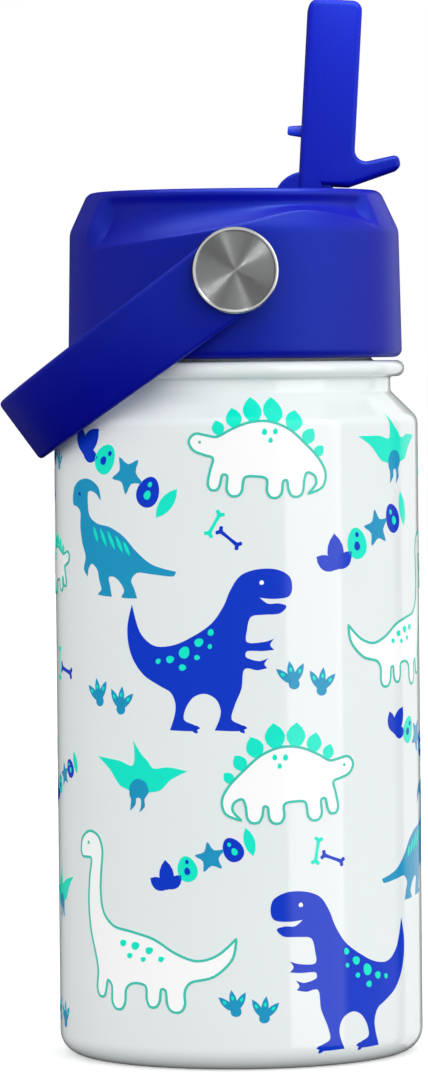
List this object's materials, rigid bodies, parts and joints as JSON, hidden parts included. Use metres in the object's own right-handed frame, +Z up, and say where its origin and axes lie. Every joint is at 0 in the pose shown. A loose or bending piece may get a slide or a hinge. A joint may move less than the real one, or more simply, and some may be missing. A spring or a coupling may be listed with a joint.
{
  "type": "water bottle",
  "caption": "Insulated kids' straw bottle: double-wall steel body, screw lid, flip-up spout, straw and swinging carry strap.",
  "frame": {"origin": "on the bottle's axis, at the flat ring that it stands on", "axes": "+Z up the bottle's axis; -X towards the side on which the strap hangs; -Y towards the front rivet"},
  "size_m": [0.0839, 0.0786, 0.2101],
  "materials": {
    "painted_steel": "glossy white powder coat with a printed pattern",
    "bare_steel": "satin stainless steel",
    "brushed_steel": "radially brushed with a polished rim",
    "seal_glass": "fused dark glass bead",
    "getter_metal": "sintered grey metal",
    "silicone": "soft matt silicone",
    "lid_plastic": "fine-textured satin moulding",
    "strap_plastic": "fine-textured satin moulding",
    "straw_plastic": "translucent extruded tube",
    "washer_plastic": "natural acetal"
  },
  "bodies": {
    "bottle": {"outer_shell": "painted_steel", "inner_vessel": "bare_steel", "base_plate": "bare_steel", "base_cover": "bare_steel", "vacuum_seal": "seal_glass", "getter": "getter_metal"},
    "seal_ring": {"lid_seal": "silicone"},
    "lid": {"lid_shell": "lid_plastic", "lid_liner": "lid_plastic", "spout_gasket": "silicone", "vent_valve": "silicone", "spout_pins": "bare_steel", "straw_sleeve": "silicone", "straw": "straw_plastic", "rivet_front": "brushed_steel", "rivet_back": "brushed_steel", "rivet_clips": "bare_steel", "strap_washers": "washer_plastic"},
    "spout": {"spout": "lid_plastic", "vent_plug": "silicone"},
    "strap": {"carry_strap": "strap_plastic"}
  },
  "joints": [
    {"name": "lid_rise", "type": "slide", "parent": "bottle", "child": "seal_ring", "axis": [0, 0, 1], "range_m": [0, 0.00667]},
    {"name": "lid_turn", "type": "hinge", "parent": "seal_ring", "child": "lid", "pos_m": [0, 0, 0.1387], "axis": [0, 0, 1], "range_deg": [0, 600]},
    {"name": "spout_flip", "type": "hinge", "parent": "lid", "child": "spout", "pos_m": [0.0142, 0, 0.16954], "axis": [0, -1, 0], "range_deg": [0, 93.5]},
    {"name": "strap_swing", "type": "hinge", "parent": "lid", "child": "strap", "pos_m": [0, 0, 0.15594], "axis": [0, 1, 0], "range_deg": [0, 132]}
  ],
  "couplings": [
    {"joint": "lid_rise", "follows": "lid_turn", "m_per_rad": 0.00063662}
  ]
}
